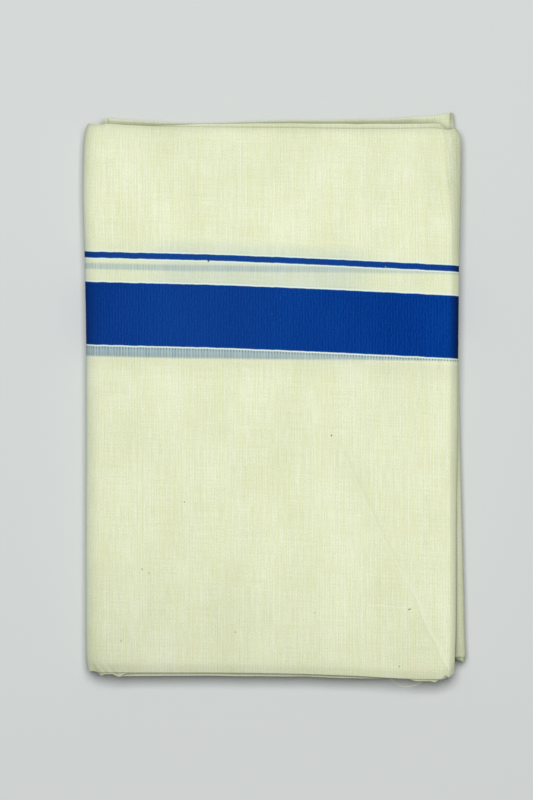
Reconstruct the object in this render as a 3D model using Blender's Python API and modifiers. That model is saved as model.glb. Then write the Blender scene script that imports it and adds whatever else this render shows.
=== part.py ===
# Folded dhoti cloth: one unstitched woven length, pleated to a strip of five plies, halved
# twice to a bundle of four strips, and folded in three like a letter.
# Millimetres below, turned to metres when the meshes are made.  Z is up, X runs along the
# strip (the warp) and Y across it.  The underside is flat on Z = 0.
import bpy
import bmesh
from math import sin, cos, pi, radians

MM = 0.001

# Driving dimensions
PLY = 0.26                      # one ply of the woven cotton
STRIP = 5 * PLY                 # the pleated strip
BUNDLE = 4 * STRIP              # the strip halved twice
HEIGHT = 3 * BUNDLE             # the bundle folded in three
WALL = 1.1                      # wall of the two outer strips
GAP = 0.35                      # air between neighbouring solids
SPINE_DEPTH = 8.0               # left spine, from its crest in to where the top is level
SPINE_POWER = 2.3               # above 2 the spine is squarer than an ellipse
FOLD_DEPTH = 5.5                # right fold of the two lower bundles
RETURN_FRONT = 7.0              # how far the top strip turns back under the top bundle
RETURN_BACK = 7.0               # how far the bottom strip turns back between the bundles
DROOP = 1.2                     # sag of the top bundle where it overhangs, far right corner
DROOP_START = 76.0
CORNER = 2.6                    # corner rounding in plan
GROOVE = 0.55                   # depth of the grooves between layers at the two ends

TOP_OF_LOWER = 2 * BUNDLE - GAP / 2
BOTTOM_OF_TOP = 2 * BUNDLE + GAP / 2
SLOT_FLOOR = TOP_OF_LOWER - WALL - GAP
SLOT_ROOF = BOTTOM_OF_TOP + WALL + GAP
ROOF_RISE = 0.08                # the slot's roof rises by this much on its way out

# Sides of the outline, as x at each y
SIDES = {
    #  y:        left of top   right of top   right of lower bundles
    126.0:      (-82.6,        80.2,          80.1),
    120.5:      (-84.2,        82.6,          80.5),
    112.0:      (-85.1,        83.4,          80.7),
    95.0:       (-85.4,        83.2,          81.0),
    60.0:       (-84.4,        82.5,          81.6),
    20.0:       (-83.9,        82.2,          82.3),
    -20.0:      (-83.9,        82.1,          83.0),
    -60.0:      (-84.1,        81.4,          84.0),
    -100.0:     (-84.0,        81.0,          85.0),
    -115.0:     (-83.7,        80.6,          85.4),
    -126.0:     (-82.4,        80.2,          85.5),
}
SIDE_NAMES = ("left", "right_top", "right_low")

# Ends of the outline, as y at each x.  far is +Y and near is -Y.
FAR_FRONT = ((-84, 121.8), (-77, 121.7), (-37, 120.6), (12, 120.2), (72, 119.8), (83, 119.5))
FAR_TOP = ((-84, 121.5), (-76, 121.5), (-71, 122.6), (-37, 121.8), (-6, 122.2), (72, 121.9),
           (76, 120.0), (83, 119.2))
FAR_MIDDLE = ((-84, 121.4), (-77.4, 121.5), (-76.7, 123.7), (-73, 124.2), (-55, 123.1),
              (-37, 122.3), (7, 123.1), (43, 123.8), (56, 124.5), (70, 125.7), (77, 126.5),
              (83, 126.6))
FAR_BOTTOM = ((-84, 121.4), (-37, 121.5), (12, 122.4), (56, 123.7), (85, 125.7))
NEAR_FRONT = ((-84, -122.4), (-79, -122.7), (-68, -123.2), (12, -124.3), (56, -124.9),
              (74, -125.8), (83, -125.0))
NEAR_TOP = ((-84, -122.2), (-69, -124.0), (-33, -124.3), (12, -124.5), (56, -125.2),
            (66, -126.4), (74, -126.6), (79, -125.0), (83, -124.2))
NEAR_LOWER = ((-84, -122.3), (12, -120.0), (70, -117.9), (85, -117.6))

# Strip layers inside, bottom to top, with how far each end stands out from its bundle's edge
LAYERS = (
    # bundle      far     near
    ("bottom",    0.0,    0.2),
    ("bottom",   -0.4,   -0.1),
    ("bottom",    0.1,    0.3),
    ("middle",   -0.9,    0.0),
    ("middle",   -0.5,   -0.3),
    ("middle",   -0.2,    0.2),
    ("middle",    0.0,   -0.1),
    ("top",      -0.3,   -0.5),
    ("top",       0.0,    0.0),
    ("top",      -0.5,   -0.8),
)
BUNDLE_ENDS = {
    "bottom": (FAR_BOTTOM, NEAR_LOWER),
    "middle": (FAR_MIDDLE, NEAR_LOWER),
    "top": (FAR_TOP, NEAR_TOP),
}

MATERIALS = {
    # node             base colour           roughness
    "front_wrap":     ((0.80, 0.84, 0.66),   0.90),
    "back_wrap":      ((0.78, 0.82, 0.65),   0.92),
    "folded_layers":  ((0.75, 0.79, 0.62),   0.94),
}


def along(table, x):
    # Smooth curve through the rows (position, value) of a table, held level past its ends
    rows = sorted(table)
    if x <= rows[0][0]:
        return rows[0][1]
    if x >= rows[-1][0]:
        return rows[-1][1]
    for k in range(len(rows) - 1):
        if x <= rows[k + 1][0]:
            break
    slope = lambda a, b: (b[1] - a[1]) / (b[0] - a[0])
    here = slope(rows[k], rows[k + 1])
    before = slope(rows[k - 1], rows[k]) if k else here
    after = slope(rows[k + 1], rows[k + 2]) if k + 2 < len(rows) else here
    start = 0.0 if before * here <= 0 else 2 * before * here / (before + here)
    end = 0.0 if after * here <= 0 else 2 * after * here / (after + here)
    span = rows[k + 1][0] - rows[k][0]
    t = (x - rows[k][0]) / span
    return ((2 * t ** 3 - 3 * t * t + 1) * rows[k][1] + (t ** 3 - 2 * t * t + t) * span * start
            + (3 * t * t - 2 * t ** 3) * rows[k + 1][1] + (t ** 3 - t * t) * span * end)


def side(name, y):
    column = SIDE_NAMES.index(name)
    return along([(key, row[column]) for key, row in SIDES.items()], y)


def ease(t):
    t = min(1.0, max(0.0, t))
    return t * t * (3 - 2 * t)


def across(v, x, far, near):
    return along(near, x) + v * (along(far, x) - along(near, x))


def corner_inset(distance):
    # How far a side is drawn in, near a rounded corner, this far from the end
    q = max(0.0, 1 - distance / CORNER)
    return CORNER * (1 - (1 - q * q) ** 0.5)


def stations(count, fine):
    # Places from 0 to 1, closer together at both ends
    inner = [fine + (1 - 2 * fine) * k / (count - 1) for k in range(count)]
    return [0.0, fine * 0.1, fine * 0.32] + inner + [1 - fine * 0.32, 1 - fine * 0.1, 1.0]


def droop(x, v):
    # The top bundle sags past the edge of the bundles under it, most at the far end
    return DROOP * max(0.0, 2 * v - 1) ** 1.5 * ease((x - DROOP_START) / 7.4)


def softening(v):
    # The top strip turns down along its far and near edges
    length = 244.0
    near = max(0.0, 1 - v * length / 4.8)
    far = max(0.0, 1 - (1 - v) * length / 2.6)
    return 0.9 * near * near + 0.5 * far * far


def arc(depth, half, start, stop, steps, power):
    # Points of an oval end, (how far out, how high), angles from -90 bottom to 90 top
    points = []
    for k in range(steps + 1):
        a = radians(start + (stop - start) * k / steps)
        out = depth * abs(cos(a)) ** (2 / power)
        up = half * abs(sin(a)) ** (2 / power) * (1 if a >= 0 else -1)
        points.append((out, up))
    return points


def crest(v):
    # How long the roll of the top bundle's right end is, longest where it sags
    return 4.0 + 4.6 * ease(v)


def front_path(v):
    # Outer face of the top strip: under the top bundle, round its right end, over the top,
    # down the spine to the ground
    y_left = across(v, -84, FAR_FRONT, NEAR_FRONT)
    y_right = across(v, 83, FAR_FRONT, NEAR_FRONT)
    left = side("left", y_left)
    right = side("right_top", y_right)
    soft = softening(v)
    middle = (BOTTOM_OF_TOP + HEIGHT) / 2
    half = (HEIGHT - BOTTOM_OF_TOP) / 2
    points = []
    for k in range(3):
        points.append((right - half - RETURN_FRONT * (1 - k / 3), BOTTOM_OF_TOP))
    points += [(right - half + out, middle + up) for out, up in arc(half, half, -90, 0, 4, 2)]
    roll = crest(v)
    points += [(right - roll + out, middle + up)
               for out, up in arc(roll, half, 0, 90, 7, 2.2)[1:]]
    start, stop = right - roll, left + SPINE_DEPTH
    steps = 15
    for k in range(1, steps):
        points.append((start + (stop - start) * k / steps, HEIGHT))
    points += [(left + SPINE_DEPTH - out, HEIGHT / 2 + up)
               for out, up in arc(SPINE_DEPTH, HEIGHT / 2, 90, -90, 16, SPINE_POWER)]
    result = []
    for x, z in points:
        high = ease((z - BUNDLE * 2) / BUNDLE)
        sag = droop(x, v) if z > BUNDLE * 2 - GAP else 0.0
        result.append((x, across(v, x, FAR_FRONT, NEAR_FRONT), z - soft * high - sag))
    return result


def back_path(v):
    # Outer face of the bottom strip: along the ground, round the right fold, back over
    y_left = across(v, -84, FAR_BOTTOM, NEAR_LOWER)
    y_right = across(v, 83, FAR_BOTTOM, NEAR_LOWER)
    left = side("left", y_left) + SPINE_DEPTH + GAP + 0.05
    right = side("right_low", y_right)
    inset = corner_inset(v * 244) + corner_inset((1 - v) * 244)
    right -= 0.5 * inset
    half = TOP_OF_LOWER / 2
    steps = 11
    points = [(left + (right - FOLD_DEPTH - left) * k / steps, 0.0) for k in range(steps)]
    points += [(right - FOLD_DEPTH + out, half + up)
               for out, up in arc(FOLD_DEPTH, half, -90, 90, 12, 2.2)]
    points += [(right - FOLD_DEPTH - RETURN_BACK * k / 3, TOP_OF_LOWER) for k in (1, 2, 3)]
    result = []
    for x, z in points:
        t = ease(z / TOP_OF_LOWER)
        low = across(v, x, FAR_BOTTOM, NEAR_LOWER)
        high = across(v, x, FAR_MIDDLE, NEAR_LOWER)
        result.append((x, low + t * (high - low), z))
    return result


def oval(depth, half, height, power):
    # Half-width of an oval at a height above its middle
    t = min(1.0, abs(height) / half)
    return depth * (1 - t ** power) ** (1 / power)


def layer_left(y, z):
    clear = WALL + GAP
    left = side("left", y) + SPINE_DEPTH
    return left - oval(SPINE_DEPTH - clear - 0.15, HEIGHT / 2 - clear, z - HEIGHT / 2, SPINE_POWER)


def layer_right(y, z, v):
    # Inside the right fold, then in to the slot that holds the two turned-back strips, then
    # out along the slot's roof and round inside the top bundle's end
    clear = WALL + GAP
    low = side("right_low", y) - FOLD_DEPTH
    high = side("right_top", y)
    if z < SLOT_FLOOR:
        half = TOP_OF_LOWER / 2
        return low + oval(FOLD_DEPTH - clear - 0.35, half - clear, z - half, 2.2)
    slot = min(low - RETURN_BACK, high - BUNDLE / 2 - RETURN_FRONT) - GAP
    if z < SLOT_ROOF:
        return slot
    middle = (BOTTOM_OF_TOP + HEIGHT) / 2
    half = (HEIGHT - BOTTOM_OF_TOP) / 2
    if z > middle:
        return high - crest(v) + oval(crest(v) - clear - 0.7, half - clear, z - middle, 2.2)
    end = high - half + oval(half - clear - 0.7, half - clear, z - middle, 2)
    return slot + (end - slot) * min(1.0, (z - SLOT_ROOF) / ROOF_RISE)


def levels():
    # Heights of the rings of the inner solid, with the layer and how deep its groove is there
    rows = []
    for k, (bundle, far, near) in enumerate(LAYERS):
        base = STRIP * (k + 1)
        for rise, groove in ((0.10, GROOVE), (0.36, 0.0), (0.94, 0.0), (1.20, GROOVE)):
            rows.append([base + rise, bundle, far - groove, near - groove])
    clear = WALL + GAP
    rows[0][0] = clear + 0.02
    rows[-1][0] = HEIGHT - clear - 0.08
    roof = [SLOT_ROOF + ROOF_RISE * k / 4 for k in range(5)]
    slot = [SLOT_FLOOR - 0.01, SLOT_FLOOR + 0.01] + roof
    rows = [row for row in rows if all(abs(row[0] - z) > 0.03 for z in slot)]
    for z in slot:
        nearest = min(rows, key=lambda row: abs(row[0] - z))
        rows.append([z, nearest[1], nearest[2], nearest[3]])
    return sorted(rows)


def level_point(level, u, v):
    z, bundle, far_out, near_out = level
    far, near = BUNDLE_ENDS[bundle]
    y_left = across(v, -80, far, near)
    y_right = across(v, 78, far, near)
    inset = corner_inset(v * 244) + corner_inset((1 - v) * 244)
    left = layer_left(y_left, z) + inset
    right = layer_right(y_right, z, v) - inset
    step = -77.4 + 0.2 * (1 - v)
    if u < 0.2:
        x = left + (step - left) * u / 0.2
    else:
        x = step + 0.7 + (right - step - 0.7) * (u - 0.2) / 0.8
    top_round = max(0.0, (z - (HEIGHT - WALL - GAP - 1.05)) / 1.05)
    far_y = along(far, x) + far_out - 4.0 * top_round ** 2
    near_y = along(near, x) - near_out + 5.0 * top_round ** 2
    sag = droop(x, v) if z > BOTTOM_OF_TOP else 0.0
    return (x, near_y + v * (far_y - near_y), z - sag)


def grid_faces(rows, columns):
    return [(r * columns + c, (r + 1) * columns + c, (r + 1) * columns + c + 1,
             r * columns + c + 1) for r in range(rows - 1) for c in range(columns - 1)]


def clothe(item):
    colour, roughness = MATERIALS[item.name]
    material = bpy.data.materials.new(item.name + "_cotton")
    material.use_nodes = True
    shader = material.node_tree.nodes["Principled BSDF"]
    shader.inputs["Base Color"].default_value = (*colour, 1.0)
    shader.inputs["Roughness"].default_value = roughness
    material.diffuse_color = (*colour, 1.0)
    item.data.materials.append(material)
    for face in item.data.polygons:
        face.use_smooth = True


def add(name, points, faces, thickness=0.0):
    mesh = bpy.data.meshes.new(name)
    mesh.from_pydata([(x * MM, y * MM, z * MM) for x, y, z in points], [], faces)
    item = bpy.data.objects.new(name, mesh)
    collection.objects.link(item)
    bm = bmesh.new()
    bm.from_mesh(mesh)
    if not thickness:
        bmesh.ops.recalc_face_normals(bm, faces=bm.faces)
    bm.to_mesh(mesh)
    bm.free()
    if thickness:
        wall = item.modifiers.new("wall", "SOLIDIFY")
        wall.thickness = thickness * MM
        wall.offset = -1.0
        wall.use_even_offset = True
    clothe(item)
    return item


def wrap(name, path, places, thickness):
    rows = [path(v) for v in places]
    points = [point for row in rows for point in row]
    return add(name, points, grid_faces(len(rows), len(rows[0])), thickness)


def inner_solid():
    us = [0.0, 0.06, 0.13, 0.2] + [0.2 + 0.8 * ease_out for ease_out in
                                  (0.0001, 0.02, 0.05, 0.1, 0.17, 0.25, 0.33, 0.42, 0.5, 0.58,
                                   0.67, 0.75, 0.83, 0.9, 0.94, 0.97, 0.99, 1.0)]
    vs = stations(9, 0.04)
    rows = levels()
    columns, ranks = len(us), len(vs)
    rim = [(c, 0) for c in range(columns)] + [(columns - 1, r) for r in range(1, ranks)]
    rim += [(c, ranks - 1) for c in range(columns - 2, -1, -1)]
    rim += [(0, r) for r in range(ranks - 2, 0, -1)]
    points, faces = [], []
    for level in (rows[0], rows[-1]):
        base = len(points)
        points += [level_point(level, us[c], vs[r]) for r in range(ranks) for c in range(columns)]
        faces += [tuple(base + k for k in face) for face in grid_faces(ranks, columns)]
    cap = columns * ranks
    lower = [r * columns + c for c, r in rim]
    for level in rows[1:]:
        if level is rows[-1]:
            upper = [cap + r * columns + c for c, r in rim]
        else:
            upper = [len(points) + k for k in range(len(rim))]
            points += [level_point(level, us[c], vs[r]) for c, r in rim]
        for k in range(len(rim)):
            n = (k + 1) % len(rim)
            faces.append((lower[k], lower[n], upper[n], upper[k]))
        lower = upper
    return add("folded_layers", points, faces)


for old in list(bpy.data.objects):
    bpy.data.objects.remove(old, do_unlink=True)
collection = bpy.data.collections.new("folded_dhoti_cloth")
bpy.context.scene.collection.children.link(collection)

edge_places = stations(11, 0.04)
items = [
    wrap("front_wrap", front_path, edge_places, WALL),
    wrap("back_wrap", back_path, edge_places, WALL),
    inner_solid(),
]

# The origin is the middle of the underside
corners = [vertex.co for item in items for vertex in item.data.vertices]
shift = [(min(c[k] for c in corners) + max(c[k] for c in corners)) / 2 for k in (0, 1)]
for item in items:
    for vertex in item.data.vertices:
        vertex.co.x -= shift[0]
        vertex.co.y -= shift[1]
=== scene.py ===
import bpy
import bmesh
import math
import random
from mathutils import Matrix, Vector, noise


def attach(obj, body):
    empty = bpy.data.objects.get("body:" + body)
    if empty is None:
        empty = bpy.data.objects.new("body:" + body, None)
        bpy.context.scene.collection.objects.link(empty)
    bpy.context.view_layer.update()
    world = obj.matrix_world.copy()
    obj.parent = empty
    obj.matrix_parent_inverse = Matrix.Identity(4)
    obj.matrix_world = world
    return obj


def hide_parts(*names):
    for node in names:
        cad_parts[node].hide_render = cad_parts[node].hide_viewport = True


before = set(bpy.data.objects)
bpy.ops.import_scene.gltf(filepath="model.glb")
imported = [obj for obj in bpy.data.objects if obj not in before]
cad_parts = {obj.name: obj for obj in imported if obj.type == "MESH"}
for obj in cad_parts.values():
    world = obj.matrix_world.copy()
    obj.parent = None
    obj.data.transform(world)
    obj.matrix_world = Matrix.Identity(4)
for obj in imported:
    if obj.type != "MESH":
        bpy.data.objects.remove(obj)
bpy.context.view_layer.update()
mm = 0.001
print("frame loaded:", ", ".join(sorted(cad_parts)))

# the folded packet in millimetres: X along the strip, Y across it, Z up from the table
packet = {
    "bundle": 5.2,  # four strips of five plies
    "height": 15.6,  # three bundles
    "spineDepth": 8,  # left spine, round the free end of the middle bundle
    "spinePower": 2.3,
    "foldDepth": 5.5,  # right fold of the two lower bundles
    "returnLength": 15,  # top strip, turned back under its bundle
    "middleEnd": -74,  # where the middle bundle's top strip stops
    "cornerRound": 2.2,
    "width": 244,
}

# how the stack gives: it sags at its right end and is pressed thinner along its other ends
settling = {
    # how deep the right end sags, and how wide it rolls, from the near end, 0, to the far, 1
    "sag": [(0, 0.9), (0.3, 1.1), (0.42, 1.7), (0.6, 1.9), (0.8, 2.1), (0.86, 2.6), (0.92, 3.3),
            (1, 3.6)],
    "rollWide": [(0, 2.9), (0.3, 3.1), (0.45, 3.6), (0.6, 3.7), (0.82, 4.2), (0.88, 6.6),
                 (0.93, 8.2), (1, 9.4)],
    "rollPower": 1.35,
    "middleSag": 0.6,
    "nearDrop": 1.4, "nearOver": 6.5,
    "farDrop": -0.3, "farOver": 3,
    "leftDrop": 0.7, "leftOver": 8.5,
    "mostPressed": 1.3,
    # soft pleats fan out at the near left corner
    "pleat": 0.36, "pleatPitch": 2.9, "pleatTurn": 37, "pleatReach": (19, 8),
}

# the sides of the outline, x at each y
sides = {
    "left": [(126, -81.4), (122, -82.7), (121.2, -83.4), (119.8, -84.2), (117.5, -84.8),
             (112, -85.2), (95, -85.5), (60, -84.6), (20, -84), (-20, -84), (-60, -84.1),
             (-100, -84.1), (-115, -84), (-118.5, -83.6), (-120.5, -83.1), (-121.8, -82.5),
             (-122.6, -81.6), (-126, -80.4)],
    "rightTop": [(126, 78.6), (120.4, 80.4), (119.5, 81.8), (118.1, 82.9), (116.5, 83.5),
                 (112, 83.7), (95, 83.6), (60, 82.8), (20, 82.4), (0, 82.1), (-20, 81.9),
                 (-44, 81.5), (-60, 81.4), (-100, 81.3), (-115, 80.9), (-121, 80.5), (-123.4, 80),
                 (-124.8, 79.1), (-126.5, 77.5)],
    "rightLow": [(127.7, 80.1), (124, 80.4), (120.5, 80.8), (112, 81), (95, 81.3), (60, 82),
                 (20, 82.7), (-20, 83.4), (-60, 84.4), (-90, 85.2), (-108, 85.6), (-117, 86.1),
                 (-119, 85.9)],
}

# the ends of the outline, y at each x; far is +Y and near is -Y
farEnds = {
    "front": [(-85.5, 119.5), (-84.3, 120.9), (-82.7, 122.5), (-81.2, 121.8), (-79.8, 121.9),
              (-77, 121.5), (-74.5, 121.9), (-70, 121.6), (-66, 121.3), (-60, 121.05),
              (-48, 120.5), (-37, 120.4), (12, 119.95), (25, 119.75), (50, 119.55), (70, 119.95),
              (75, 119.7), (77.5, 119.3), (79, 119.7), (80.4, 120.1), (81.6, 119.7), (82.8, 118.2),
              (84, 116.5)],
    "top": [(-85.5, 119.2), (-84.3, 120.5), (-83, 121.3), (-60, 120.9), (-45, 121.2), (-37, 121.7),
            (-6, 122.1), (50, 121.9), (72, 122.1), (74.2, 121.8), (75.5, 120.5), (77.2, 119.3),
            (79.6, 119), (83, 117.2)],
    "middle": [(-84, 124.4), (-77.4, 124.4), (-74, 124.4), (-72.9, 124.7), (-70.5, 124.2),
               (-67, 123.9), (-58, 123.4), (-48.6, 122.7), (-37, 122.4), (-26, 122.5),
               (-15, 122.9), (-1.7, 123.4), (12, 123.6), (25, 123.7), (38, 124), (52, 124.3),
               (61, 124.9), (67.4, 125.3), (72, 125.7), (75.8, 126.3), (77.6, 126.9),
               (79.2, 127.2), (83, 127.3)],
    "bottom": [(-84, 121.2), (-37, 121.5), (12, 122.4), (56, 123.7), (76, 126.2), (79, 127.3),
               (85, 127.7)],
}
nearEnds = {
    "front": [(-85.5, -118.6), (-84, -120.3), (-83, -121.9), (-82.1, -122.7), (-80.4, -122.6),
              (-79, -123), (-77.6, -123.2), (-70, -123.2), (-35, -123.2), (-11, -123.4),
              (12, -123.8), (25, -124.3), (36, -124.7), (50, -125.5), (56, -125.8), (70, -126.2),
              (73.6, -126.2), (75.2, -125.8), (76.9, -124.5), (78.1, -125.5), (79.4, -124.6),
              (80.6, -123.3), (82, -121.6)],
    "top": [(-85.5, -118), (-84, -120.3), (-82.6, -122.2), (-81.4, -122.8), (-80.4, -122.6),
            (-78.4, -123.3), (-77.4, -124.5), (-76.5, -124.9), (-75.2, -124), (-72.2, -124),
            (-69.5, -125.2), (-66, -124.7), (-33, -124.6), (12, -125), (36, -125.7), (56, -125.9),
            (60.5, -126.2), (63.4, -127.2), (69.6, -127.1), (72, -127.8), (72.9, -126.8),
            (75.9, -126.2), (77.4, -125.2), (80, -124), (82, -121.6)],
    "lower": [(-84, -122.1), (12, -120), (70, -117.9), (80.6, -116.4), (83, -116.3), (84.8, -117),
              (87, -117)],
    "lowerPlies": [(-84, -122.1), (12, -120), (70, -117.9), (80.6, -118.6), (83, -119.1),
                   (84.8, -119.9), (87, -119)],
}


def along(table, x):
    # smooth curve through (place, value) rows, level past the ends
    rows = sorted(table)
    if x <= rows[0][0]:
        return rows[0][1]
    if x >= rows[-1][0]:
        return rows[-1][1]
    k = next(n for n in range(len(rows) - 1) if x <= rows[n + 1][0])
    steep = [(b[1] - a[1]) / (b[0] - a[0]) for a, b in zip(rows, rows[1:])]
    here = steep[k]
    before = steep[k - 1] if k else here
    after = steep[k + 1] if k + 1 < len(steep) else here
    start = 2 * before * here / (before + here) if before * here > 0 else 0.0
    end = 2 * after * here / (after + here) if after * here > 0 else 0.0
    wide = rows[k + 1][0] - rows[k][0]
    t = (x - rows[k][0]) / wide
    return ((2 * t ** 3 - 3 * t * t + 1) * rows[k][1] + (t ** 3 - 2 * t * t + t) * wide * start
            + (3 * t * t - 2 * t ** 3) * rows[k + 1][1] + (t ** 3 - t * t) * wide * end)


def ease(t):
    t = min(1.0, max(0.0, t))
    return t * t * (3 - 2 * t)


def between(first, second, x, t):
    return (1 - t) * along(first, x) + t * along(second, x)


def oval(depth, half, start, stop, steps, power=2.2):
    # points of an oval end as (how far out, how high)
    points = []
    for k in range(steps + 1):
        a = math.radians(start + (stop - start) * k / steps)
        up = half * abs(math.sin(a)) ** (2 / power) * (1 if a >= 0 else -1)
        points.append((depth * max(0.0, math.cos(a)) ** (2 / power), up))
    return points


def span(start, stop, steps):
    return [start + (stop - start) * k / steps for k in range(steps + 1)]


def pleats(x, y):
    right = (x - along(sides["left"], y)) / settling["pleatReach"][0]
    up = (y - along(nearEnds["front"], x)) / settling["pleatReach"][1]
    fade = max(0.0, 1 - right) * max(0.0, 1 - max(0.0, up)) * ease(8 * right)
    turn = math.radians(settling["pleatTurn"])
    across = (x * math.cos(turn) + y * math.sin(turn)) / settling["pleatPitch"]
    return settling["pleat"] * fade * math.sin(2 * math.pi * across)


def settle(x, y, z):
    # lowers a point of the stacked cloth, in millimetres
    high = (z - 2 * packet["bundle"]) / packet["bundle"]
    if high <= -1:
        return z
    near = along(nearEnds["front"], x)
    far = along(farEnds["front"], x)
    most = settling["mostPressed"]
    close = min(most, max(0.0, 1 - (y - near) / settling["nearOver"]))
    distant = min(most, max(0.0, 1 - (far - y) / settling["farOver"]))
    press = settling["nearDrop"] * close ** 2 + settling["farDrop"] * distant ** 2
    edge = max(0.0, 1 - (x - along(sides["left"], y)) / settling["leftOver"])
    press += settling["leftDrop"] * edge ** 2
    t = (y - near) / (far - near)
    out = (x - along(sides["rightTop"], y)) / along(settling["rollWide"], t) + 1
    power = settling["rollPower"]
    sag = along(settling["sag"], t) * (1 - (1 - min(1.0, max(0.0, out)) ** power) ** (1 / power))
    if high < 0:
        sag *= settling["middleSag"] * (1 + high)
    return z - press * ease(high) - sag + pleats(x, y) * ease(2 * high - 1)


# route of the outermost strip: under the top bundle, round its right end, over the top, down the
# spine, along the table, round the right fold and over the middle bundle
outerCloth = {
    "thickness": 0.5,  # the two outermost plies
    "hemRound": 0.28,
    "clear": 0.03,  # between the top strip and what it turns back over
    "foldClear": 0.02,  # at the right fold
    "cutEnd": ((0.25, 0.03), (0.08, 0.1), (0, 0.2)),  # how far in, and how far down
    "cutReach": 0.6,
    "steps": {"under": 5, "endLow": 6, "endHigh": 10, "topRight": 28, "top": 84, "topLeft": 26,
              "spine": 34, "table": 20, "fold": 30, "middle": 40},
    "stepsChange": (60, -62),  # x on the top where they get closer
    "across": 112,
    "hemReach": 8,
    "sideWaviness": 0.6,
    "waviness": ((0.22, 38, 52), (0.08, 13, 30), (0.02, 2.6, 26)),
    "foldSeam": {"x": 79.5, "wide": 0.4, "deep": 0.5, "fromY": 118.5, "over": 2.0},
}


def outerRoute(t):
    # (x, z, stretch) rows at one place across the strip, t from 0 near to 1 far
    high, bundle = packet["height"], packet["bundle"]
    left = along(sides["left"], between(nearEnds["front"], farEnds["front"], -84, t))
    right = along(sides["rightTop"], between(nearEnds["front"], farEnds["front"], 83, t))
    low = along(sides["rightLow"], between(nearEnds["lower"], farEnds["middle"], 83, t))
    q = max(0.0, 1 - t * packet["width"] / packet["cornerRound"])
    low -= 0.5 * packet["cornerRound"] * (1 - math.sqrt(1 - q * q))
    steps, clear, foldClear = (outerCloth[key] for key in ("steps", "clear", "foldClear"))
    half, middle = bundle / 2, 2.5 * bundle
    rows = [(x, 2 * bundle + clear, "top")
            for x in span(right - half - packet["returnLength"], right - half, steps["under"])[:-1]]
    rows += [(right - half + out, middle + up + clear / 2, "top")
             for out, up in oval(half, half - clear, -90, 0, steps["endLow"], 2)[:-1]]
    roll = along(settling["rollWide"], t)
    rows += [(right - roll + out, middle + up, "top")
             for out, up in oval(roll, half, 0, 90, steps["endHigh"], settling["rollPower"])]
    spine = left + packet["spineDepth"]
    after, before = outerCloth["stepsChange"]
    parts = ((right - roll, after, "topRight"), (after, before, "top"),
             (before, spine, "topLeft"))
    for start, stop, label in parts:
        rows += [(x, high, "top") for x in span(start, stop, steps[label])[1:]]
    rows.pop()
    rows += [(spine - out, high / 2 + up, "spine")
             for out, up in oval(packet["spineDepth"], high / 2, 90, -90, steps["spine"],
                                 packet["spinePower"])]
    fold = low - packet["foldDepth"]
    rows += [(x, 0.0, "bottom") for x in span(spine, fold, steps["table"])[1:-1]]
    rows += [(fold + out, bundle + up - foldClear, "fold")
             for out, up in oval(packet["foldDepth"], bundle - foldClear, -90, 90, steps["fold"])]
    end, level = packet["middleEnd"], 2 * (bundle - foldClear)
    rows += [(x, level, "middle")
             for x in span(fold, end + outerCloth["cutReach"], steps["middle"])[1:]]
    rows += [(end + out, level - down, "middle") for out, down in outerCloth["cutEnd"]]
    return rows


# the ends each route follows: over the top, along the table and on the middle bundle
outerEnds = [[nearEnds[label] for label in ("front", "lower", "lower")],
             [farEnds[label] for label in ("front", "bottom", "middle")]]
plyEnds = {"near": [nearEnds[label] for label in ("top", "lowerPlies", "lowerPlies")],
           "far": [farEnds[label] for label in ("top", "bottom", "middle")]}


def endPlace(upper, lower, middle, x, z, stretch):
    # y of an end at a point of a route
    if stretch in ("top", "turned", "spine"):
        t = ease(1 - z / packet["height"]) if stretch == "spine" else 0
        return between(upper, lower, x, t)
    t = ease(z / (2 * packet["bundle"])) if stretch == "fold" else stretch == "middle"
    return between(lower, middle, x, t)


def seamDip(x, y):
    # the far end of the right fold has a narrow seam where its plies part
    seam = outerCloth["foldSeam"]
    fade = ease((y - seam["fromY"]) / seam["over"])
    return -seam["deep"] * fade * math.exp(-((x - seam["x"]) / seam["wide"]) ** 2)


def ripple(x, y):
    return sum(depth * noise.noise(Vector((x / wide, y / tall, 3.7 * k + 1.3)))
               for k, (depth, wide, tall) in enumerate(outerCloth["waviness"]))


def acrossPlaces():
    # places across the strip as distances, close together at both hems
    hem = [0, 0.03, 0.09, 0.18, 0.3, 0.5, 0.8, 1.2, 1.7, 2.3, 3.0, 3.9, 5.0, 6.4]
    width, reach = packet["width"], outerCloth["hemReach"]
    inner = span(reach, width - reach, outerCloth["across"])
    return [d / width for d in hem + inner + [width - d for d in reversed(hem)]]


# how the weave lies in the strip, in millimetres at each place along it
lay = {
    "askew": [(-300, -3.6), (-90, -2.7), (-81, -2.52), (-77.6, -2.4), (-64.2, -2.02),
              (-50.8, -1.7), (-41.9, -1.48), (-33, -1.26), (-19.6, -0.84), (-6.2, -0.32),
              (7.2, 0.2), (20.6, 0.8), (29.5, 1.2), (38.4, 1.63), (51.8, 2.28), (60.7, 2.69),
              (68.8, 3.12), (74.1, 3.41), (77.7, 3.6), (82.2, 3.87), (95, 4.3)],
    # how far the ply below is shifted
    "beneath": [(-300, 5.4), (-78, 5.05), (-42, 4.95), (-20, 4.55), (7, 3.85), (29, 2.95),
                (52, 2.25), (69, 1.55), (78, 1.2), (95, 1)],
}


def addObject(name, data):
    item = bpy.data.objects.new(name, data)
    bpy.context.scene.collection.objects.link(item)
    return item


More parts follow.
